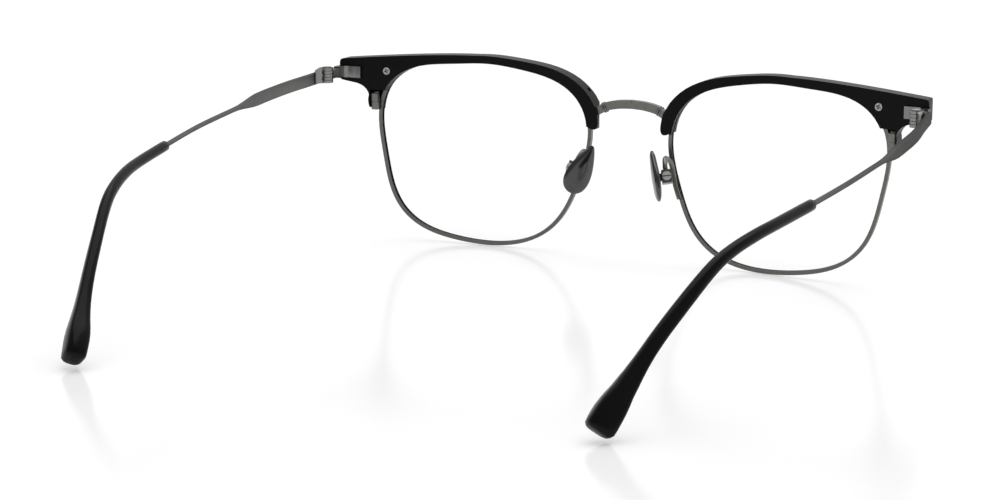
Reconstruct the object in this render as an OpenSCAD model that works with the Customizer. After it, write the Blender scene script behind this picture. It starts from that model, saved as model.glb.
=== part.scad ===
// Browline glasses: black brow bars over metal eyewires, drawn open and standing on a table.
// The wearer looks along -Y with +Z up, so the wearer's left is +X. Z = 0 is the table.
// The left half is drawn, and the right half is its mirror image.

/* [Front] */
// Width over the outer ends of the two brow bars
front_w = 140; // [134:0.5:146]
// Distance between the centres of the two lenses
pupil_w = 70.6; // [68:0.2:74]
// Curve of the brow bars, as a radius seen from above
brow_r = 560; // [300:10:900]
// Turn of each brow bar about the vertical, in degrees
brow_wrap = 5.4; // [3:0.1:7]
// Forward lean of the whole front, in degrees
front_tilt = 3.4; // [2:0.1:5]

/* [Eyewires and lenses] */
// Width of an eyewire, from centre line to centre line
rim_w = 51.2; // [48:0.2:53]
// Height of an eyewire, from centre line to centre line
rim_h = 41.5; // [38:0.2:44]
// Thickness of the eyewire, seen from the front
rim_t = 0.85; // [0.7:0.05:1.1]
// Depth of the eyewire, front to back
rim_d = 1.0; // [0.8:0.05:1.2]
// Turn of each lens about the vertical, in degrees
rim_wrap = 4.2; // [2:0.1:6]
// Radius of the lens surface
lens_r = 460; // [250:10:800]
// Depth of the lens groove in the eyewire
groove_d = 0.3; // [0.2:0.02:0.4]
// Width of the lens groove
groove_w = 0.5; // [0.3:0.05:0.6]

/* [Brow bars] */
// Thickness of a brow bar, front to back
brow_t = 3.6; // [3:0.1:4.2]
// Rise of the brow bar over the eyewire's centre line at the top
brow_top = 1.35; // [1.1:0.05:2]
// Extra width of the brow bar at the nose
brow_nose = 1.4; // [1:0.05:2]
// Height of the brow bar's outer end
brow_end_h = 4.85; // [4.2:0.05:5.5]
// Drop of the outer top corner below the eyewire's top
brow_drop = 0.8; // [0.5:0.05:2]
// How far the brow bar's rear face lies behind the lens plane
brow_back = 1.9; // [1.4:0.05:2]
// Where the outer lobe ends on the eyewire, as an angle about the lens centre
lobe_a = 16; // [12:1:18]
// Where the nose end stops on the eyewire, as an angle about the lens centre
nose_a = 165; // [160:1:170]
// Width of the outer lobe beyond the eyewire
lobe_w = 2.6; // [2.3:0.1:3]
// Set-back of the front lip from the eyewire's centre line
front_lip = -0.15; // [-0.2:0.02:0.2]

/* [Hinges] */
// Distance of the hinge axis inside the brow bar's outer end
hinge_in = 0.6; // [0:0.1:1.4]
// Distance of the hinge axis behind the end piece's back face
hinge_reach = 6.84; // [4:0.05:10]
// Outer diameter of the hinge barrel
barrel_d = 2.7; // [2.5:0.1:2.9]
// Height of one knuckle
knuckle_h = 0.6; // [0.54:0.02:0.66]
// Number of knuckles, counted from the top, the odd ones on the temple
knuckles = 5; // [3:2:5]
// Diameter of the hinge screw's shank
hinge_pin_d = 1.2; // [1:0.05:1.4]
// Height of the end piece
end_h = 2.6; // [2.2:0.1:2.9]
// Thickness of the end piece
end_t = 1.7; // [1.4:0.1:2]

/* [Temples] */
// Thickness of the temple's blade
blade_t = 1.0; // [0.8:0.05:1.3]
// Height of the temple's blade
blade_h = 2.7; // [2.3:0.1:3.2]
// Thickness and height of the temple's wire
wire_t = 0.95; // [0.8:0.05:1.3]
// Width of the temple tip at its front end
tip_w = 2.2; // [2:0.05:2.6]
// Thickness of the temple tip at its paddle
paddle_t = 4.2; // [3.2:0.1:4.8]
// Height of the temple tip at its paddle
paddle_h = 5.4; // [4.6:0.1:6.2]
// Twist of the paddle's faces, outwards, in degrees
tip_twist = 48; // [0:1:60]

/* [Nose pads] */
// Length of a nose pad
pad_l = 11.6; // [11:0.1:14]
// Width of a nose pad
pad_w = 6.6; // [6:0.1:7.5]
// Thickness of a nose pad
pad_t = 1.65; // [1.4:0.05:2]
// Splay of the pads' faces, in degrees
pad_splay = 27; // [20:1:35]
// Lean of the pads' long axis, in degrees
pad_lean = 15; // [10:1:20]
// Diameter of the pad arm's wire
arm_d = 1.1; // [0.9:0.05:1.3]

/* [Bridge] */
// Height of the bridge bar
bridge_h = 1.9; // [1.6:0.1:2.4]
// Thickness of the bridge bar, front to back
bridge_t = 1.3; // [1:0.1:1.8]
// Rise of the bridge bar's arch
bridge_rise = 0.9; // [0.4:0.1:1.6]

/* [Fits] */
// Radial clearance of a screw in its knuckles or box
run_gap = 0.03; // [0.02:0.01:0.06]
// Gap between neighbouring knuckles
knuckle_gap = 0.11; // [0.08:0.01:0.14]
// Gap round a piece that is seated in the acetate
seat_gap = 0.03; // [0.01:0.01:0.06]

/* [Hidden] */

$fn = 48;
far = 30;
black = [0.10, 0.10, 0.11];
gunmetal = [0.42, 0.42, 0.43];
steel = [0.78, 0.78, 0.76];
clear = [0.85, 0.92, 0.95, 0.35];

// The lens outline is a circle with waves of two to six to a turn, stretched to the eyewire's box
outline_r = 23.6;
outline_cos = [2.39, -0.14, -0.78, -0.20, -0.31];
outline_sin = [0.12, 1.10, -0.14, 0.44, -0.08];
outline_step = 3;
function wave(a) = outline_r + outline_cos * [for (n = [2:6]) cos(n * a)]
    + outline_sin * [for (n = [2:6]) sin(n * a)];
raw = [for (a = [0:1:359]) wave(a) * [cos(a), sin(a)]];
raw_lo = [min([for (p = raw) p.x]), min([for (p = raw) p.y])];
raw_hi = [max([for (p = raw) p.x]), max([for (p = raw) p.y])];
raw_mid = (raw_lo + raw_hi) / 2;
zoom_x = rim_w / (raw_hi.x - raw_lo.x);
zoom_z = rim_h / (raw_hi.y - raw_lo.y);
lens_x = pupil_w / 2;
rim_z = (rim_h + rim_t) / 2;
rim_top = rim_z + rim_h / 2;

// A point of the eyewire's centre line, seen from the front, and the same moved outwards
function rim_pt(a) = [
    lens_x + (wave(a) * cos(a) - raw_mid.x) * zoom_x,
    rim_z + (wave(a) * sin(a) - raw_mid.y) * zoom_z
];
function rim_dir(a) = let (d = rim_pt(a + 0.5) - rim_pt(a - 0.5)) d / norm(d);
function rim_off(a, off) = rim_pt(a) + off * [rim_dir(a).y, -rim_dir(a).x];

// Curves through a few control points
function bez(a, b, c, n) = [for (i = [0:n]) let (t = i / n)
    (1 - t) * (1 - t) * a + 2 * t * (1 - t) * b + t * t * c];
function knot(a, b, c, d, t) = 0.5 * (2 * b + (c - a) * t + (2 * a - 5 * b + 4 * c - d) * t * t
    + (3 * b - a - 3 * c + d) * t * t * t);
function at_end(p, i) = i < 0 ? 2 * p[0] - p[1]
    : i >= len(p) ? 2 * p[len(p) - 1] - p[len(p) - 2] : p[i];
function spline(p, n) = concat([for (i = [0:len(p) - 2], k = [0:n - 1])
    knot(at_end(p, i - 1), p[i], p[i + 1], at_end(p, i + 2), k / n)], [p[len(p) - 1]]);
function ease(t) = let (u = max(0, min(1, t))) u * u * (3 - 2 * u);

// The front's curved surfaces are parts of large spheres whose centres lie behind it
function rear(wrap) = let (v = [-tan(wrap), 1, tan(front_tilt)]) v / norm(v);
lens_p = [lens_x, 0, rim_z];
brow_p = [lens_x, brow_back, rim_z];
lens_c = lens_p + lens_r * rear(rim_wrap);
brow_c = brow_p + brow_r * rear(brow_wrap);
function ball_y(c, r, x, z) = c.y - sqrt(r * r - pow(x - c.x, 2) - pow(z - c.z, 2));
function lens_y(x, z) = ball_y(lens_c, lens_r, x, z);
function brow_y(x, z) = ball_y(brow_c, brow_r, x, z);
module shell(c, r, front, back) {
    translate(c) difference() {
        sphere(r = r - front, $fn = 360);
        sphere(r = r - back, $fn = 360);
    }
}
module lens_shell(front, back) { shell(lens_c, lens_r, front, back); }

// A solid from rings of as many points each, and a ring of rounded section across a line
module sweep(rings) {
    n = len(rings[0]);
    last = len(rings) - 1;
    walls = [for (i = [0:last - 1], j = [0:n - 1]) let (a = i * n + j, b = i * n + (j + 1) % n)
        [a, a + n, b + n, b]];
    ends = [[for (j = [0:n - 1]) j], [for (j = [n - 1:-1:0]) last * n + j]];
    polyhedron([for (r = rings, p = r) p], concat(ends, walls), convexity = 6);
}
function along(p, i) = let (d = p[min(i + 1, len(p) - 1)] - p[max(i - 1, 0)]) d / norm(d);
function square_to(t, v) = let (w = v - (t * v) * t) w / norm(w);
function soft(v, k) = sign(v) * pow(abs(v), k);
function ring(c, t, side, wide, tall, k, n) = let (b = square_to(t, side), u = cross(t, b))
    [for (j = [0:n - 1]) let (a = j * 360 / n)
        c + b * wide / 2 * soft(cos(a), k) + u * tall / 2 * soft(sin(a), k)];

// Placing: a shape drawn from the front, a shape drawn from above, a shape along a direction
module elevation() { translate([0, far, 0]) rotate([90, 0, 0]) linear_extrude(2 * far) children(); }
module side_view() { rotate([90, 0, 90]) linear_extrude(2 * front_w) children(); }
module plan(z0, z1) { translate([0, 0, z0]) linear_extrude(z1 - z0) children(); }
module aim(v) { rotate([0, acos(v.z / norm(v)), atan2(v.y, v.x)]) children(); }
module outline(off) { polygon([for (a = [0:outline_step:359]) rim_off(a, off)]); }

// Brow bar
corner = [front_w / 2, rim_top - brow_drop];
end_low = corner.y - brow_end_h;
end_z = corner.y - 2.95;
corner_r = 0.9;
front_chamfer = [0.45, 1.0];
function brow_rise(a) = brow_top + brow_nose * pow(max(0, a - 90) / 70, 2);
brow_outline = concat(
    [for (a = [nose_a:-outline_step:lobe_a]) rim_off(a, -rim_t / 2)],
    bez(rim_off(lobe_a, 0.2), rim_off(lobe_a, lobe_w - 0.5), rim_off(lobe_a + 5, lobe_w), 5),
    bez(rim_off(lobe_a + 7, lobe_w + 0.1), [63.6 / 70 * corner.x, end_low - 0.9],
        [corner.x - 3.2, end_low - 0.5], 8),
    bez([corner.x - corner_r, end_low - 0.1], [corner.x, end_low], [corner.x, end_low + corner_r], 4),
    bez([corner.x, corner.y - corner_r], corner, corner - [corner_r, -0.05], 4),
    bez(corner - [corner_r, -0.05], [47, rim_top + brow_top - 0.08], rim_off(84, brow_rise(84)), 10),
    [for (a = [87:outline_step:nose_a - 10]) rim_off(a, brow_rise(a))],
    bez(rim_off(nose_a - 7, brow_rise(nose_a - 7)), rim_off(nose_a + 4, 3.3),
        rim_off(nose_a + 0.6, 0.1), 8)
);

// Rim lock: a block in two halves, where the eyewire is split
lock_a = 21;
lock_p = rim_pt(lock_a);
lock_w = 1.5;
lock_h = 3.7;
lock_gap = 0.05;
lock_x0 = lock_p.x + rim_t / 2;
lock_back = brow_y(lock_p.x, lock_p.y) - 0.2;
lock_deep = 2.4;
lock_head = 0.9;
lock_screw_d = 0.9;
module lock_pocket() {
    translate([lock_x0 - far, lock_back - lock_deep - 0.1, lock_p.y - far])
        cube([far + lock_w + 0.15, far, far + lock_h / 2 + lock_head]);
}

// Brow screw
brow_screw = [lens_x + rim_w / 2 - 2.25, corner.y - 2.45];
brow_screw_p = [brow_screw.x, brow_y(brow_screw.x, brow_screw.y), brow_screw.y];
brow_screw_v = brow_c - brow_screw_p;
end_seat = 0.47;
end_x = corner.x - end_seat * (corner.x - brow_screw.x);
end_proud = 0.8;
end_back = brow_y(end_x, end_z) + end_proud;
brow_head_d = 1.65;
brow_head_h = 0.35;
brow_shank_d = 1.0;
brow_shank_l = 2.2;
brow_head_out = 0.12;
nose_x = min([for (p = brow_outline) p.x]);
nose_back = brow_y(nose_x, rim_top - 11);
nose_slant = 1.15;
nose_hole_a = 150;
nose_hole_d = 1.1;
nose_hole_deep = 1.0;

// Bridge: half of its centre line, from the middle plane to the eyewire
bridge_y = lens_y(10, 34) - 0.75;
bridge_z = rim_top - 7.7;
bridge_end_a = 160;
bridge_end = rim_off(bridge_end_a, rim_t / 2 + 0.35);
bridge_line = spline([
    [0, bridge_y, bridge_z],
    [3.2, bridge_y, bridge_z - 0.25 * bridge_rise],
    [6.2, bridge_y, bridge_z - bridge_rise],
    [7.8, bridge_y + 0.35, bridge_z - 2.0 * bridge_rise],
    [bridge_end.x, lens_y(bridge_end.x, bridge_end.y), bridge_end.y]
], 6);

// A band of varying width on both sides of a line of points
function turn(p, i) = let (d = p[min(i + 1, len(p) - 1)] - p[max(i - 1, 0)]) [-d.y, d.x] / norm(d);
function band(p, half) = concat([for (i = [0:len(p) - 1]) p[i] + half[i] * turn(p, i)],
    [for (i = [len(p) - 1:-1:0]) p[i] - half[i] * turn(p, i)]);
module half_bridge(gap) {
    front = [for (p = bridge_line) [p.x, p.z]];
    above = [for (p = bridge_line) [p.x, p.y]];
    tall = [for (i = [0:len(bridge_line) - 1]) bridge_h / 2 + gap - 0.25 * ease(i / 24 - 0.4)];
    deep = [for (p = bridge_line) bridge_t / 2 + gap];
    intersection() {
        elevation() polygon(band(front, tall));
        plan(0, rim_top) polygon(band(above, deep));
    }
}

module brow() {
    color(black) difference() {
        intersection() {
            shell(brow_c, brow_r, -brow_t, 0);
            elevation() polygon(brow_outline);
        }
        intersection() {
            lens_shell(-far, rim_d / 2 + seat_gap);
            elevation() outline(front_lip);
        }
        intersection() {
            lens_shell(-rim_d / 2 - seat_gap, rim_d / 2 + seat_gap);
            elevation() outline(rim_t / 2 + seat_gap);
        }
        lock_pocket();
        half_bridge(0.12);
        end_solid(seat_gap);
        translate(brow_screw_p) aim(brow_screw_v) {
            translate([0, 0, -brow_shank_l]) cylinder(d = brow_shank_d + 2 * seat_gap, h = far);
            translate([0, 0, brow_head_out - brow_head_h])
                cylinder(d = brow_head_d + 2 * seat_gap, h = far);
        }
        translate([
            rim_off(nose_hole_a, brow_rise(nose_hole_a)).x,
            brow_y(12, 36) - brow_t * 0.7,
            rim_off(nose_hole_a, brow_rise(nose_hole_a)).y
        ]) aim([-sin(nose_hole_a - 90), 0, cos(nose_hole_a - 90)])
            translate([0, 0, -nose_hole_deep]) cylinder(d = nose_hole_d, h = far, $fn = 32);
        plan(0, 2 * rim_top) polygon([
            corner + [1, 0] - [0, corner.y] + [0, end_back - brow_t - 4],
            [corner.x + 1, brow_y(corner.x, end_z) - brow_t + front_chamfer.y],
            [corner.x, brow_y(corner.x, end_z) - brow_t + front_chamfer.y],
            [corner.x - front_chamfer.x, brow_y(corner.x, end_z) - brow_t - 0.3],
            [corner.x - front_chamfer.x, end_back - brow_t - 4]
        ]);
        plan(0, 2 * rim_top) polygon([
            [nose_x - 1, nose_back - 0.6], [nose_x, nose_back - 0.6],
            [nose_x + nose_slant, nose_back - brow_t], [nose_x + 1.3 * nose_slant, nose_back - brow_t - 1],
            [nose_x - 1, nose_back - brow_t - 1]
        ]);
    }
}

module eyewire() {
    color(gunmetal) difference() {
        intersection() {
            lens_shell(-rim_d / 2, rim_d / 2);
            elevation() difference() {
                outline(rim_t / 2);
                outline(-rim_t / 2);
            }
        }
        intersection() {
            lens_shell(-groove_w / 2, groove_w / 2);
            elevation() outline(groove_d - rim_t / 2);
        }
        translate([lock_p.x - 2, -far, lock_p.y - lock_gap / 2]) cube([4, 2 * far, lock_gap]);
    }
}

module lens() {
    color(clear) union() {
        intersection() {
            lens_shell(-rim_d / 2, rim_d / 2);
            elevation() outline(-rim_t / 2 - seat_gap);
        }
        intersection() {
            lens_shell(seat_gap - groove_w / 2, groove_w / 2 - seat_gap);
            elevation() outline(groove_d - rim_t / 2 - seat_gap);
        }
    }
}

module bridge() {
    color(gunmetal) difference() {
        union() {
            half_bridge(0);
            mirror([1, 0, 0]) half_bridge(0);
        }
        for (s = [0, 1]) mirror([s, 0, 0]) intersection() {
            lens_shell(-rim_d / 2, rim_d / 2);
            elevation() outline(rim_t / 2);
        }
    }
}

module lock_half(upper) {
    z0 = upper ? lock_p.y + lock_gap / 2 : lock_p.y - lock_h / 2;
    color(gunmetal) difference() {
        translate([lock_x0, lock_back - lock_deep, z0])
            cube([lock_w, lock_deep, (lock_h - lock_gap) / 2]);
        intersection() {
            lens_shell(-rim_d / 2, rim_d / 2);
            elevation() outline(rim_t / 2);
        }
        lock_axis() cylinder(d = lock_screw_d + 2 * run_gap, h = 2 * far, center = true);
    }
}
module lock_axis() {
    translate([lock_x0 + lock_w / 2 + 0.1, lock_back - lock_deep / 2, lock_p.y]) children();
}
module lock_screw() {
    color(steel) lock_axis() difference() {
        union() {
            translate([0, 0, -lock_h / 2]) cylinder(d = lock_screw_d, h = lock_h);
            translate([0, 0, lock_h / 2]) cylinder(d = 1.5 * lock_screw_d, h = 0.3);
        }
        translate([-1, -0.12, lock_h / 2 + 0.15]) cube([2, 0.24, 1]);
    }
}

module brow_fixing() {
    color(steel) translate(brow_screw_p) aim(brow_screw_v) difference() {
        union() {
            translate([0, 0, -brow_shank_l]) cylinder(d = brow_shank_d, h = brow_shank_l - 0.1);
            translate([0, 0, brow_head_out - brow_head_h]) cylinder(d = brow_head_d, h = brow_head_h);
        }
        for (turn = [0, 90]) rotate([0, 0, turn + 20]) translate([-0.56, -0.16, brow_head_out - 0.26])
            cube([1.12, 0.32, 1]);
    }
}

// End piece and hinge
hinge_x = front_w / 2 - hinge_in;
hinge_back = end_back + hinge_reach;
hinge_p = [hinge_x, hinge_back];
leg_end = hinge_back - 4.7;
leg_out = hinge_x + 1.0;
module end_solid(gap) {
    leg_in = leg_out - end_t;
    front = end_back - end_t;
    plan(end_z - end_h / 2 - gap, end_z + end_h / 2 + gap) polygon(concat(
        [[end_x - gap, end_back + gap], [end_x - gap, front - gap]],
        bez([leg_out - 2.2 + gap, front - gap], [leg_out + gap, front + 0.2 - gap],
            [leg_out + gap, front + 2.2 - gap], 6),
        [[leg_out + gap, leg_end + gap], [leg_in - gap, leg_end + gap]],
        bez([leg_in - gap, end_back + 1.2], [leg_in - gap, end_back + 0.1 + gap],
            [leg_in - 1.2, end_back + gap], 4)
    ));
}
module end_piece() { color(gunmetal) end_solid(0); }

pitch = knuckle_h + knuckle_gap;
barrel_top = end_z + (knuckles * pitch - knuckle_gap) / 2;
barrel_low = end_z - (knuckles * pitch - knuckle_gap) / 2;
module knuckle(i, d) {
    translate([hinge_p.x, hinge_p.y, barrel_top - i * pitch - knuckle_h]) cylinder(d = d, h = knuckle_h);
}
module knuckle_room(i) {
    translate([hinge_p.x, hinge_p.y, barrel_top - i * pitch - knuckle_h - knuckle_gap])
        cylinder(d = barrel_d + 0.3, h = knuckle_h + 2 * knuckle_gap);
}
module hinge_pin_hole(gap) {
    translate([hinge_p.x, hinge_p.y, 0]) cylinder(d = hinge_pin_d + 2 * gap, h = 2 * rim_top);
}
module hinge_front() {
    color(gunmetal) difference() {
        union() {
            for (i = [1:2:knuckles - 2]) knuckle(i, barrel_d);
            plan(barrel_low + pitch, barrel_top - pitch)
                polygon([[hinge_p.x - 0.65, leg_end], [hinge_p.x + 0.9, leg_end],
                    [hinge_p.x + 0.9, hinge_p.y - 0.6], [hinge_p.x - 0.65, hinge_p.y - 0.6]]);
        }
        for (i = [2:2:knuckles - 2]) knuckle_room(i);
        hinge_pin_hole(run_gap);
    }
}
module hinge_temple() {
    color(gunmetal) difference() {
        union() {
            for (i = [0:2:knuckles - 1]) knuckle(i, barrel_d);
            intersection() {
                side_view() polygon([
                    [hinge_p.y - 1, barrel_low], [hinge_p.y - 1, barrel_top], [hinge_p.y + 1, barrel_top],
                    [hinge_p.y + 2.6, barrel_top - 0.5], [hinge_p.y + 2.6, barrel_low - 0.1]
                ]);
                plan(0, 2 * rim_top) polygon([
                    hinge_p + [0.3, -0.9], hinge_p + [4, -0.9], hinge_p + [4, 2.6],
                    hinge_p + [1.5, 2.6], hinge_p + [0.4, 1.2]
                ]);
                plan(0, 2 * rim_top) polygon(concat([for (p = temple_line)
                    if (back(p) < 8) [p.x - blade_t / 2 - 0.01, p.y]],
                    [hinge_p + [-3, 8], hinge_p + [-3, -5]]));
            }
        }
        for (i = [1:2:knuckles - 2]) knuckle_room(i);
        hinge_pin_hole(run_gap);
    }
}
module hinge_screw() {
    head_h = 0.2;
    color(steel) translate([hinge_p.x, hinge_p.y, 0]) difference() {
        union() {
            translate([0, 0, barrel_low]) cylinder(d = hinge_pin_d, h = barrel_top - barrel_low + 0.1);
            translate([0, 0, barrel_top + 0.02]) cylinder(d = barrel_d - 0.9, h = head_h);
        }
        translate([-far, -0.14, barrel_top + 0.08]) cube([2 * far, 0.28, 1]);
    }
}

// Temple: offsets from the hinge axis of points on its middle line, backwards, outwards and down
temple_shape = [
    [-3.4, 1.7, 0.2], [2.8, 2.3, 0.8], [11.6, 3.45, 1.5], [20.6, 3.8, 2.2], [28.6, 3.7, 2.9],
    [37.6, 3.3, 3.6], [50.6, 2.5, 4.7], [64, 0.9, 6.05], [78.2, -1.2, 7.5], [85.4, -2.7, 8.5],
    [91.9, -4.5, 10.1], [96.9, -6.1, 12.3], [102.9, -8.3, 16.7], [110.4, -11.1, 22.9],
    [116.8, -13.55, 29.3], [120.8, -15.2, 33.6], [123.3, -16.1, 36.5]
];
tip_start = 65.3;
core_l = 42;
temple_line = [for (p = spline(temple_shape, 4)) [hinge_x + p.y, hinge_back + p.x, end_z - p.z]];
function back(p) = p.y - hinge_back;
function slim(p) = ease((back(p) - 24) / 10.5);
function mix(a, b, t) = a + (b - a) * t;
core_line = [for (p = temple_line) if (back(p) < tip_start + core_l) p];
sides = 20;
function metal_ring(line, i, gap) = let (p = line[i], s = slim(p))
    ring(p, along(line, i), [1, 0, 0], mix(blade_t, wire_t, s) + 2 * gap,
        mix(blade_h, wire_t + 0.1, s) + 2 * gap, mix(0.25, 1, s), sides);
module temple() {
    color(gunmetal) sweep([for (i = [0:len(core_line) - 1]) metal_ring(core_line, i, 0)]);
}

// Temple tip: width and height by distance from its rear end, with rounded ends
tip_rows = [[0, 0.88, 0.9, 0.65], [0.7, 0.95, 0.96, 0.55], [2, 0.97, 0.98, 0.45], [4, 1, 0.94, 0.42],
    [6, 0.95, 0.84, 0.42], [8, 0.7, 0.62, 0.45], [10.6, 0.4, 0.47, 0.47], [13, 0.22, 0.31, 0.5],
    [16, 0.12, 0.2, 0.55], [21, 0.05, 0.17, 0.65], [25, 0.05, 0.17, 0.7], [35, 0.05, 0.12, 0.9],
    [43.5, 0.02, 0.06, 1], [56, 0, 0, 1], [71, 0, 0, 1]];
tip_bare = [for (p = temple_line) if (back(p) > tip_start) p];
tip_first = mix(tip_bare[0], tip_bare[1],
    (tip_start - back(tip_bare[0])) / (back(tip_bare[1]) - back(tip_bare[0])));
tip_last = tip_bare[len(tip_bare) - 1];
function rounded(a, b) = [for (k = [0, 0.06, 0.2, 0.45]) a + k * 1.6 / norm(b - a) * (b - a)];
tip_line = concat(rounded(tip_first, tip_bare[2]),
    [for (p = tip_bare) if (norm(p - tip_first) > 1 && norm(p - tip_last) > 1) p],
    let (r = rounded(tip_last, tip_bare[len(tip_bare) - 3])) [for (i = [3:-1:0]) r[i]]);
tip_n = len(tip_line);
function to_end(i) = i == tip_n - 1 ? 0 : norm(tip_line[i + 1] - tip_line[i]) + to_end(i + 1);
tip_to_end = [for (i = [0:tip_n - 1]) to_end(i)];
function tip_row(i, c) = lookup(tip_to_end[i], [for (r = tip_rows) [r[0], r[c]]]);
function inset(i) = let (d = min(norm(tip_line[i] - tip_first), tip_to_end[i]), u = max(0, 1 - d / tip_r))
    tip_r * (1 - sqrt(1 - u * u * 0.98));
tip_r = 0.9;
function tip_side(i) = let (a = tip_twist * ease((48 - tip_to_end[i]) / 26))
    [cos(a), 0.87 * sin(a), 0.5 * sin(a)];
tip_bore = concat([tip_first], [for (p = core_line) if (back(p) > back(tip_first) + 0.1) p]);
module temple_tip() {
    color(black) sweep(concat(
        [for (i = [len(tip_bore) - 1:-1:0]) metal_ring(tip_bore, i, seat_gap)],
        [for (i = [0:tip_n - 1]) ring(tip_line[i], along(tip_line, i), tip_side(i),
            mix(tip_w, paddle_t, tip_row(i, 1)) - 2 * inset(i),
            mix(tip_w, paddle_h, tip_row(i, 2)) - 2 * inset(i), tip_row(i, 3), sides)]
    ));
}

// Nose pad: a leaning teardrop; its box, screw and lug lean less, with X across towards the back,
// Y out towards the nose and Z up
pad_c = [8.92, 5.09, 20.08];
pad_axes = axes([-0.364, -0.388, 1], 29.7);
box_c = [11.06, 4.04, 19.85];
box_axes = axes([-tan(pad_lean), -tan(pad_lean), 1], pad_splay);
function axes(up, splay) = let (u = up / norm(up), x = square_to(u, [sin(splay), cos(splay), 0]))
    [x, cross(u, x), u];
function placed(c, m, p) = c + p * m;
module in_box() {
    tilt = acos(box_axes[2].z);
    turn = atan2(box_axes[2].y, box_axes[2].x);
    roll = atan2(box_axes[0] * [-sin(turn), cos(turn), 0],
        box_axes[0] * [cos(turn) * cos(tilt), sin(turn) * cos(tilt), -sin(tilt)]);
    translate(box_c) rotate([0, tilt, turn]) rotate([0, 0, roll]) children();
}
pad_rows = 8;
pad_sides = 36;
pad_taper = 0.49;
function pad_ring(k) = let (u = -1 + 2 * k / pad_rows, s = pow(1 - pow(abs(u) * 0.97, 2.6), 1 / 2.6))
    [for (j = [0:pad_sides - 1]) let (a = j * 360 / pad_sides) placed(pad_c, pad_axes, [
        s * pad_w / 2 * cos(a) * (1 - pad_taper * sin(a)),
        u * pad_t / 2,
        s * pad_l / 2 * sin(a)
    ])];
box_w = 2.6;
box_t = 2.1;
box_h = 3.0;
lug_t = 1.2;
lug_h = 1.6;
lug_l = 2.5;
pad_screw_d = 0.9;
module pad_axis(d, h) { rotate([0, 90, 0]) cylinder(d = d, h = h, center = true); }
module nose_pad() {
    color([0.2, 0.2, 0.21]) difference() {
        union() {
            sweep([for (k = [pad_rows:-1:0]) pad_ring(k)]);
            in_box() translate([-lug_t / 2, -lug_h / 2, -lug_h / 2]) cube([lug_t, lug_l + lug_h / 2, lug_h]);
        }
        in_box() pad_axis(pad_screw_d + 2 * run_gap, 4);
    }
}
module pad_box() {
    color(gunmetal) in_box() difference() {
        translate([-box_w / 2, -box_t / 2, -box_h / 2]) cube([box_w, box_t, box_h]);
        translate([-lug_t / 2 - 0.06, -box_t / 2 + 0.12, -1.2]) cube([lug_t + 0.12, box_t, 2.4]);
        pad_axis(pad_screw_d + 0.02, 4);
    }
}
module pad_screw() {
    color(steel) in_box() difference() {
        union() {
            pad_axis(pad_screw_d, box_w);
            translate([box_w / 2, 0, 0]) rotate([0, 90, 0]) cylinder(d = 2, h = 0.45);
        }
        translate([box_w / 2 + 0.25, -2, -0.14]) cube([1, 4, 0.28]);
    }
}

// Pad arm: a bent wire from the back of the eyewire, over an arch, down to the pad box
foot_lo = rim_off(198, 0.1);
foot_hi = rim_off(190, 0.15);
foot_y = rim_d / 2 + arm_d / 2 + 0.02;
arm_line = spline([
    placed(box_c, box_axes, [0, 0, box_h / 2]),
    placed(box_c, box_axes, [0, 0, box_h / 2 + 1.1]),
    [rim_pt(178).x - 0.35, box_c.y - 2.2, box_c.z + 3.7],
    [rim_pt(180).x + 0.1, lens_y(10, 22) + foot_y + 0.25, box_c.z + 2.2],
    [foot_hi.x, lens_y(foot_hi.x, foot_hi.y) + foot_y, foot_hi.y],
    [foot_lo.x, lens_y(foot_lo.x, foot_lo.y) + foot_y, foot_lo.y]
], 5);
module pad_arm() {
    color(gunmetal) sweep([for (i = [0:len(arm_line) - 1])
        ring(arm_line[i], along(arm_line, i), box_axes[0], arm_d, arm_d, 1, 12)]);
}

// The whole is moved back so that Z runs up through the middle of its box
front_y = -4.2;
back_y = 137.38;
module side(right) {
    translate([0, -(front_y + back_y) / 2, 0]) mirror([right ? 1 : 0, 0, 0]) children();
}

side(false) brow();  // brow_left
side(true) brow();  // brow_right
side(false) eyewire();  // eyewire_left
side(true) eyewire();  // eyewire_right
side(false) lens();  // lens_left
side(true) lens();  // lens_right
side(false) bridge();
side(false) lock_half(true);  // rim_lock_upper_left
side(true) lock_half(true);  // rim_lock_upper_right
side(false) lock_half(false);  // rim_lock_lower_left
side(true) lock_half(false);  // rim_lock_lower_right
side(false) lock_screw();  // rim_lock_screw_left
side(true) lock_screw();  // rim_lock_screw_right
side(false) brow_fixing();  // brow_screw_left
side(true) brow_fixing();  // brow_screw_right
side(false) end_piece();  // end_piece_left
side(true) end_piece();  // end_piece_right
side(false) hinge_front();  // hinge_front_left
side(true) hinge_front();  // hinge_front_right
side(false) hinge_temple();  // hinge_temple_left
side(true) hinge_temple();  // hinge_temple_right
side(false) hinge_screw();  // hinge_screw_left
side(true) hinge_screw();  // hinge_screw_right
side(false) temple();  // temple_left
side(true) temple();  // temple_right
side(false) temple_tip();  // temple_tip_left
side(true) temple_tip();  // temple_tip_right
side(false) pad_arm();  // pad_arm_left
side(true) pad_arm();  // pad_arm_right
side(false) pad_box();  // pad_box_left
side(true) pad_box();  // pad_box_right
side(false) pad_screw();  // pad_screw_left
side(true) pad_screw();  // pad_screw_right
side(false) nose_pad();  // nose_pad_left
side(true) nose_pad();  // nose_pad_right
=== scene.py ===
# %% [markdown]
# # Browline glasses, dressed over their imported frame
#
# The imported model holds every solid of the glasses: acetate brow bars and temple tips, metal
# eyewires, bridge, temples, hinges, nose pads and clear lenses. This lesson opens it, gives each
# piece a finish built from nodes, and lights it on a white table. All lengths are in metres.

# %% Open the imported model
import math

import bmesh
import bpy
from mathutils import Euler, Matrix, Vector


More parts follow.
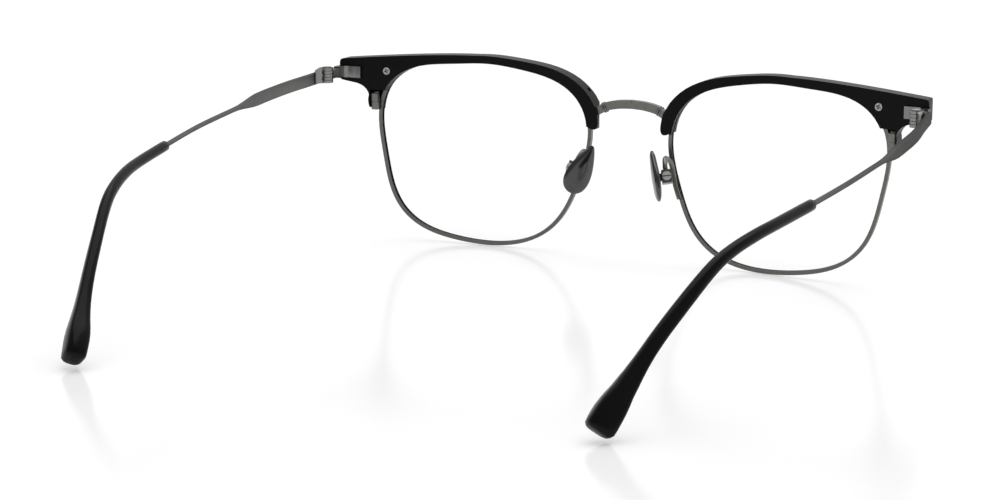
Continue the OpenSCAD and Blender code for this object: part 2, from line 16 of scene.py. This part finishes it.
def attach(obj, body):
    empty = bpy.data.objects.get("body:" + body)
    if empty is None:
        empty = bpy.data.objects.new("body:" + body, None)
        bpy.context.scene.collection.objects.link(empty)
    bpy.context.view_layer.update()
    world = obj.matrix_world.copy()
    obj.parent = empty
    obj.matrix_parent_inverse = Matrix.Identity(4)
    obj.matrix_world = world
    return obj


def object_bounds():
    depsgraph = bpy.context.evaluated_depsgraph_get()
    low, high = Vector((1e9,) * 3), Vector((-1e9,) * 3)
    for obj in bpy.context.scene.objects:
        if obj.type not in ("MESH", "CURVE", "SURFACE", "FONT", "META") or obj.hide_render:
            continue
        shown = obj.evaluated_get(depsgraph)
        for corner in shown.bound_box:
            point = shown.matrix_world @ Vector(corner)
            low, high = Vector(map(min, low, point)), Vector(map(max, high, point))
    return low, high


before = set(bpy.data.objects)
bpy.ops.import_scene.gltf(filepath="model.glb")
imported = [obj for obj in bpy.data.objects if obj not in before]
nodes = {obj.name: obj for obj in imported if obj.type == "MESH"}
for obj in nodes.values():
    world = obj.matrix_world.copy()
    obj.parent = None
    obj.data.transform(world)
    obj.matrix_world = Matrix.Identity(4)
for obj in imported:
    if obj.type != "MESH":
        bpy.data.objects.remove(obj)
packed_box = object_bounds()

MM = 0.001
scene = bpy.context.scene


def size_in_mm(box):
    return [round(side / MM, 1) for side in box[1] - box[0]]


print(len(nodes), "pieces, packed box", size_in_mm(packed_box), "mm")

# %% [markdown]
# ## The camera
#
# The glasses are seen from the wearer's side, a little above the temples. Such a view could be
# found by eye in the viewport. Here the place, the turn and the lens come from lining up matching
# left and right points of the frame, so that every proportion of the picture can be trusted.

# %% Camera
CAMERA_PLACE = (-0.21838, 0.443025, 0.121245)
CAMERA_TURN = (77.804, -0.097, -153.861)
CAMERA_LENS, SENSOR_WIDTH = 91.14, 36
NEAREST, FARTHEST = 0.01, 20


def add_camera():
    camera = bpy.data.objects.new("camera", bpy.data.cameras.new("camera"))
    camera.location = CAMERA_PLACE
    camera.rotation_euler = Euler([math.radians(angle) for angle in CAMERA_TURN])
    camera.data.lens, camera.data.sensor_width = CAMERA_LENS, SENSOR_WIDTH
    camera.data.clip_start, camera.data.clip_end = NEAREST, FARTHEST
    scene.collection.objects.link(camera)
    return camera


scene.camera = add_camera()
scene.view_settings.view_transform = "Standard"
print("camera", [round(v, 3) for v in scene.camera.location], "lens", CAMERA_LENS, "mm")

# %% [markdown]
# ## Writing finishes as sums
#
# A finish is a tree of nodes, and could be clicked together in the shader editor. Written as sums
# it stays short enough to read: a `Flow` wraps a socket, so that `0.5 * flow + 0.2` adds the Math
# nodes, and a `Finish` adds any other node in one call. The room's light is written the same way.

# %% Sockets that can be added and multiplied
class Flow:
    def __init__(self, finish, socket):
        self.finish, self.socket = finish, socket

    def maths(self, operation, other):
        node = self.finish.tree.nodes.new("ShaderNodeMath")
        node.operation = operation
        self.finish.feed(node.inputs[0], self)
        self.finish.feed(node.inputs[1], other)
        return Flow(self.finish, node.outputs[0])

    def __add__(self, other):
        return self.maths("ADD", other)

    def __mul__(self, other):
        return self.maths("MULTIPLY", other)

    def __pow__(self, other):
        return self.maths("POWER", other)

    __radd__, __rmul__ = __add__, __mul__


# %% [markdown]
# Some nodes, such as Mix, carry several sockets of one name, one for each kind of value, and only
# the kind that is set is enabled. They could be counted off, but numbers change between versions
# of Blender. So a socket is picked by its name among the enabled ones.

# %% Sockets and ramps
def pick(sockets, name=None):
    return next(s for s in sockets if s.enabled and name in (None, s.name))


def set_stops(ramp, stops):
    while len(ramp) < len(stops):
        ramp.new(0.5)
    for stop, (place, grey) in zip(ramp, stops):
        stop.position, stop.color = place, (grey, grey, grey, 1)


# %% A finish and its nodes
class Finish:
    def __init__(self, holder):
        holder.use_nodes = True
        self.holder, self.tree = holder, holder.node_tree
        self.tree.nodes.clear()

    def feed(self, socket, value):
        if isinstance(value, Flow):
            self.tree.links.new(value.socket, socket)
        elif socket.type == "RGBA":
            socket.default_value = (*value, 1)
        else:
            socket.default_value = value

    def node(self, kind, settings=None, out=None, **values):
        node = self.tree.nodes.new("ShaderNode" + kind)
        for key, setting in (settings or {}).items():
            if key == "stops":
                set_stops(node.color_ramp.elements, setting)
            else:
                setattr(node, key, setting)
        for key, value in values.items():
            self.feed(pick(node.inputs, key.replace("_", " ")), value)
        return Flow(self, pick(node.outputs, out))

    def noise(self, scale, detail, stretch=(1, 1, 1), rough=0.5):
        where = self.node("Mapping", Vector=self.node("TexCoord", out="Object"), Scale=stretch)
        return self.node("TexNoise", Vector=where, Scale=scale, Detail=detail, Roughness=rough)

    def blend(self, factor, first, second):
        return self.node("Mix", {"data_type": "RGBA"}, Factor=factor, A=first, B=second)

    def bump(self, height, strength, distance):
        return self.node("Bump", Height=height, Strength=strength, Distance=distance)

    def end(self, shader, kind="OutputMaterial"):
        last = self.tree.nodes.new("ShaderNode" + kind)
        self.feed(last.inputs["Surface"], shader)
        return self.holder

    def surface(self, **values):
        return self.end(self.node("BsdfPrincipled", **values))


# %% [markdown]
# ## Finishes
#
# Acetate is cut from sheet and tumbled until it shines. It is almost black here, with a faint
# cloudiness where the polish varies. One flat black would look like a hole in the picture, so a
# broad noise drifts the colour and the shine, and a fine one adds the grain of the polish.

# %% Polished black acetate
ACETATE_DARK, ACETATE_PALE = (0.0055, 0.0056, 0.006), (0.0095, 0.0093, 0.0097)
ACETATE_IOR, ACETATE_GLOSS = 1.42, 0.2
CLOUDS, GRAINS = 90, 2200
CLOUD_HAZE, GRAIN_HAZE = 0.1, 0.05
GRAIN_STRENGTH, GRAIN_HEIGHT = 0.05, 0.00002


def acetate(name, polish):
    f = Finish(bpy.data.materials.new(name))
    cloud = f.noise(CLOUDS, detail=4)
    grain = f.noise(GRAINS, detail=2)
    return f.surface(Base_Color=f.blend(cloud, ACETATE_DARK, ACETATE_PALE),
                     Roughness=polish + CLOUD_HAZE * cloud + GRAIN_HAZE * grain,
                     IOR=ACETATE_IOR, Specular_IOR_Level=ACETATE_GLOSS,
                     Normal=f.bump(grain, GRAIN_STRENGTH, GRAIN_HEIGHT))


brow_acetate = acetate("brow acetate", polish=0.26)
tip_acetate = acetate("tip acetate", polish=0.13)
print("acetate:", brow_acetate.name, "and", tip_acetate.name)

# %% [markdown]
# The metal is plated dark. Its tone drifts a little, and fine brushed lines run through it: their
# noise is drawn out along Y on the temples and upright, along Z, on the end pieces. Painted shade
# darkens the gaps between knuckles and round screw heads: Ambient Occlusion finds them because
# little open air reaches them. A tint below 1 takes back the glare of brushed metal seen edge on.

# %% Gunmetal plating and brushed steel
TONES = 160
# Colour of the painted shade in narrow gaps and recesses, how far Ambient Occlusion looks for
# them, and how steeply the shade darkens.
PAINTED_SHADE, SHADE_REACH = (0.012, 0.012, 0.012), 0.0005
SHADE_FALL = 2.0
LINE_HAZE, TONE_HAZE = 0.14, 0.05
LINE_HEIGHT = 0.00003
ALONG_Y, ALONG_Z = (1, 0.05, 1), (1, 1, 0.04)


def plated(name, dark, light, rough, brush=(1, 1, 1), lines=900, depth=0.12, metal=1.0, tint=1.0):
    f = Finish(bpy.data.materials.new(name))
    tone = f.noise(TONES, detail=4)
    brushed = f.noise(lines, 3, brush, rough=0.6)
    open_air = f.node("AmbientOcclusion", {"samples": 8}, out="AO", Distance=SHADE_REACH)
    clean = f.blend(tone * 0.5 + brushed * 0.5, dark, light)
    shine = rough - LINE_HAZE / 2 + LINE_HAZE * brushed + TONE_HAZE * tone
    # The base colour turns to the painted shade colour where Ambient Occlusion finds little open
    # air. This is painted shade in gaps and recesses.
    return f.surface(Base_Color=f.blend(open_air ** SHADE_FALL, PAINTED_SHADE, clean), Metallic=metal,
                     Roughness=shine, Specular_Tint=(tint, tint, tint),
                     Normal=f.bump(brushed, depth, LINE_HEIGHT))


# %% [markdown]
# Five metals come from that one recipe. The rims and the bridge are satin drawn wire, the temples
# and end pieces are brushed, the screw heads are pale and rough, and the pads are dark and smooth.

# %% Make the metals
gunmetal = plated("rim gunmetal", (0.18, 0.18, 0.166), (0.38, 0.38, 0.355), 0.28)
temple_steel = plated("temple steel", (0.15, 0.15, 0.147), (0.30, 0.30, 0.293), 0.3,
                      ALONG_Y, lines=2600, depth=0.2, tint=0.3)
end_steel = plated("end piece steel", (0.10, 0.10, 0.097), (0.70, 0.70, 0.68), 0.28,
                   ALONG_Z, lines=1300, depth=0.3, tint=0.45)
screw_steel = plated("screw steel", (0.6, 0.59, 0.57), (1.0, 0.98, 0.95), 0.28,
                     lines=3200, depth=1.0, metal=0.1)
pad_plating = plated("pad plating", (0.08, 0.08, 0.082), (0.15, 0.15, 0.15), 0.11)
print("metals:", [m.name for m in (gunmetal, temple_steel, end_steel, screw_steel, pad_plating)])

# %% [markdown]
# A fitted lens is clear and coated against reflections. Real glass could be given transmission,
# but almost nothing of such a lens shows face on. So it is nearly see-through, and its opacity
# grows with the facing angle, which darkens the edge a little.

# %% Clear lens
LENS_TINT, LENS_IOR = (0.22, 0.24, 0.24), 1.5
LENS_FILM, LENS_EDGE, EDGE_BLEND, EDGE_FALL = 0.015, 0.2, 0.35, 3
SMEARS, SMEAR_FILM, SMEAR_HAZE, LENS_HAZE = 60, 0.01, 0.03, 0.03


def clear_lens(name):
    f = Finish(bpy.data.materials.new(name))
    facing = f.node("LayerWeight", out="Facing", Blend=EDGE_BLEND)
    smear = f.noise(SMEARS, detail=3)
    return f.surface(Base_Color=LENS_TINT, Roughness=LENS_HAZE + SMEAR_HAZE * smear, IOR=LENS_IOR,
                     Alpha=LENS_FILM + LENS_EDGE * facing ** EDGE_FALL + SMEAR_FILM * smear)


lens_glass = clear_lens("clear lens")
print("lens:", lens_glass.name)

# %% [markdown]
# ## Smooth faces
#
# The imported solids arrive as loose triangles, and would look faceted. Their meshes stay as they
# are: a small modifier joins the triangles where they meet, rounds the shading over shallow edges
# and keeps the real corners sharp.

# %% Shading modifier
ROUND_BELOW = 32
JOIN_WITHIN = 2e-6


def smooth_faces():
    tree = bpy.data.node_groups.new("smooth faces", "GeometryNodeTree")
    for way in ("INPUT", "OUTPUT"):
        tree.interface.new_socket("Geometry", in_out=way, socket_type="NodeSocketGeometry")

    def add(kind, feeds=None):
        node = tree.nodes.new(kind)
        for place, value in (feeds or {}).items():
            if isinstance(value, bpy.types.Node):
                tree.links.new(value.outputs[0], node.inputs[place])
            else:
                node.inputs[place].default_value = value
        return node

    joined = add("GeometryNodeMergeByDistance",
                 {"Geometry": add("NodeGroupInput"), "Distance": JOIN_WITHIN})
    rounded = add("GeometryNodeSetShadeSmooth", {"Geometry": joined, "Shade Smooth": True})
    corner = add("ShaderNodeMath",
                 {0: add("GeometryNodeInputMeshEdgeAngle"), 1: math.radians(ROUND_BELOW)})
    corner.operation = "GREATER_THAN"
    sharp = add("GeometryNodeSetMeshNormal", {"Mesh": rounded, "Edge Sharpness": corner})
    add("NodeGroupOutput", {0: sharp})
    return tree


rounding = smooth_faces()
print("edges under", ROUND_BELOW, "degrees are shaded round")

# %% [markdown]
# ## Dressing the pieces
#
# The name of a node starts with its kind, so one table gives every piece its finish. The longest
# kind that fits is taken, so that a brow screw isn't dressed as a brow bar.

# %% Dress every piece
finishes = {
    "brow": brow_acetate, "temple_tip": tip_acetate,
    "eyewire": gunmetal, "bridge": gunmetal, "rim_lock": gunmetal,
    "pad_arm": gunmetal, "pad_box": gunmetal, "nose_pad": pad_plating,
    "end_piece": end_steel, "hinge": end_steel, "temple": temple_steel,
    "brow_screw": screw_steel, "rim_lock_screw": screw_steel,
    "hinge_screw": screw_steel, "pad_screw": screw_steel,
    "lens": lens_glass,
}


def finish_of(name):
    return finishes[max((kind for kind in finishes if name.startswith(kind)), key=len)]


for name, piece in nodes.items():
    piece.data.materials.clear()
    piece.data.materials.append(finish_of(name))
    piece.modifiers.new("smooth faces", "NODES").node_group = rounding
print("dressed", len(nodes), "pieces")

# %% [markdown]
# ## Rings of the bridge
#
# Where the bridge bends down to the eyewires, two fine rings show on the real bar. A torus could
# be added and squashed, but spinning a small circle round an axis gives the same ring with the
# number of faces in hand. It is squeezed to the bar's section and moved to its bend.

# %% Shape of a ring
RING_WIRE = 0.00016
RING_HALF_DEPTH, RING_HALF_HEIGHT = 0.00078, 0.00108
WIRE_SIDES, RING_SIDES = 10, 40
QUARTER_TURN = math.radians(90)


def ring_shape():
    shape = bmesh.new()
    wire = bmesh.ops.create_circle(shape, segments=WIRE_SIDES, radius=RING_WIRE)["verts"]
    beside = Matrix.Translation((RING_HALF_HEIGHT, 0, 0)) @ Matrix.Rotation(QUARTER_TURN, 4, "X")
    bmesh.ops.transform(shape, matrix=beside, verts=wire)
    bmesh.ops.spin(shape, geom=list(shape.verts) + list(shape.edges), cent=(0, 0, 0),
                   axis=(0, 0, 1), angle=math.tau, steps=RING_SIDES, use_merge=True)
    bmesh.ops.recalc_face_normals(shape, faces=shape.faces)
    for face in shape.faces:
        face.smooth = True
    return shape


# %% Rings in their places
BEND = Vector((0.0064, -0.06905, 0.0332))
BEND_SLOPE = math.radians(24)
RING_STEP = 0.0005
LEFT, RIGHT = 1, -1


def bridge_ring(side, number):
    shape = ring_shape()
    squeezed = Matrix.Diagonal((1, RING_HALF_DEPTH / RING_HALF_HEIGHT, 1, 1))
    upright = Matrix.Rotation(QUARTER_TURN + side * BEND_SLOPE, 4, "Y")
    along = Vector((side * math.cos(BEND_SLOPE), 0, -math.sin(BEND_SLOPE)))
    middle = Vector((side * BEND.x, BEND.y, BEND.z)) + (number - 1) * RING_STEP * along
    moved = Matrix.Translation(middle) @ upright @ squeezed
    bmesh.ops.transform(shape, matrix=moved, verts=shape.verts)
    name = f"bridge_ring_{'left' if side == LEFT else 'right'}_{number}"
    mesh = bpy.data.meshes.new(name)
    shape.to_mesh(mesh)
    shape.free()
    mesh.materials.append(end_steel)
    ring = bpy.data.objects.new(name, mesh)
    scene.collection.objects.link(ring)
    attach(ring, "front")
    return ring


rings = [bridge_ring(side, number) for side in (LEFT, RIGHT) for number in (1, 2)]
print("rings:", [ring.name for ring in rings])

# %% [markdown]
# ## Table
#
# The table is white and slightly shiny, so it carries a soft shadow and a faint mirror image under
# the rims and tips. More light would make it whiter, but would bleach the glasses too. Instead the
# table glows by itself for the rays that look at it, and so stays white without lighting anything:
# fully for the camera and through glass, and about a third of that in pieces that mirror it.

# %% White table
TABLE_WHITE, TABLE_IOR = (0.95, 0.95, 0.95), 1.45
TABLE_POLISH, TABLE_WEAR, WEAR_SPOTS = 0.13, 0.05, 3
TABLE_GLOW, MIRRORED_SHARE = 0.365, 0.3
TABLE_HALF = 6
TABLE_GAP = 0.0002


def table():
    f = Finish(bpy.data.materials.new("white table"))
    seen, mirrored, through = (f.node("LightPath", out=ray) for ray in
                               ("Is Camera Ray", "Is Glossy Ray", "Is Transmission Ray"))
    wear = f.noise(WEAR_SPOTS, detail=3)
    f.surface(Base_Color=TABLE_WHITE, Roughness=TABLE_POLISH + TABLE_WEAR * wear, IOR=TABLE_IOR,
              Emission_Color=seen + MIRRORED_SHARE * mirrored + through,
              Emission_Strength=TABLE_GLOW)
    shape = bmesh.new()
    bmesh.ops.create_grid(shape, x_segments=1, y_segments=1, size=TABLE_HALF)
    mesh = bpy.data.meshes.new("table")
    shape.to_mesh(mesh)
    shape.free()
    mesh.materials.append(f.holder)
    floor = bpy.data.objects.new("table", mesh)
    floor.location.z = packed_box[0].z - TABLE_GAP
    scene.collection.objects.link(floor)
    print("table top at", round(floor.location.z / MM, 2), "mm")


table()

# %% [markdown]
# ## Room and lamp
#
# The camera sees a white room. The glasses mirror another one, bright ahead of them and dim behind
# the camera, because black acetate would show a white wall behind the camera as a grey haze. The
# ramp runs from ahead to behind along Y, and one wide softbox overhead gives the soft shadow.

# %% Room
ROOM_GREYS = [(0.0, 0.78), (0.12, 0.72), (0.42, 0.36), (0.7, 0.25), (1.0, 0.22)]
WHITE = (1, 1, 1)


def room():
    f = Finish(bpy.data.worlds.new("studio"))
    toward = f.node("SeparateXYZ", out="Y", Vector=f.node("TexCoord", out="Generated"))
    walls = f.node("ValToRGB", {"stops": ROOM_GREYS}, Fac=toward * 0.5 + 0.5)
    sky = f.blend(f.node("LightPath", out="Is Camera Ray"), walls, WHITE)
    return f.end(f.node("Background", Color=sky), "OutputWorld")


scene.world = room()
print("room", scene.world.name, "with", len(ROOM_GREYS), "greys")

# %% Softbox
SOFTBOX_PLACE, SOFTBOX_TARGET = Vector((0, -0.2, 1.1)), Vector((0, 0, 0.02))
SOFTBOX_SIZE, SOFTBOX_WATTS = (1.3, 1.0), 5


def softbox():
    lamp = bpy.data.lights.new("overhead", "AREA")
    lamp.shape, lamp.energy = "RECTANGLE", SOFTBOX_WATTS
    lamp.size, lamp.size_y = SOFTBOX_SIZE
    holder = bpy.data.objects.new("overhead", lamp)
    holder.location = SOFTBOX_PLACE
    holder.rotation_euler = (SOFTBOX_TARGET - SOFTBOX_PLACE).to_track_quat("-Z", "Y").to_euler()
    scene.collection.objects.link(holder)
    return holder


print("lamp", softbox().name, SOFTBOX_WATTS, "W")
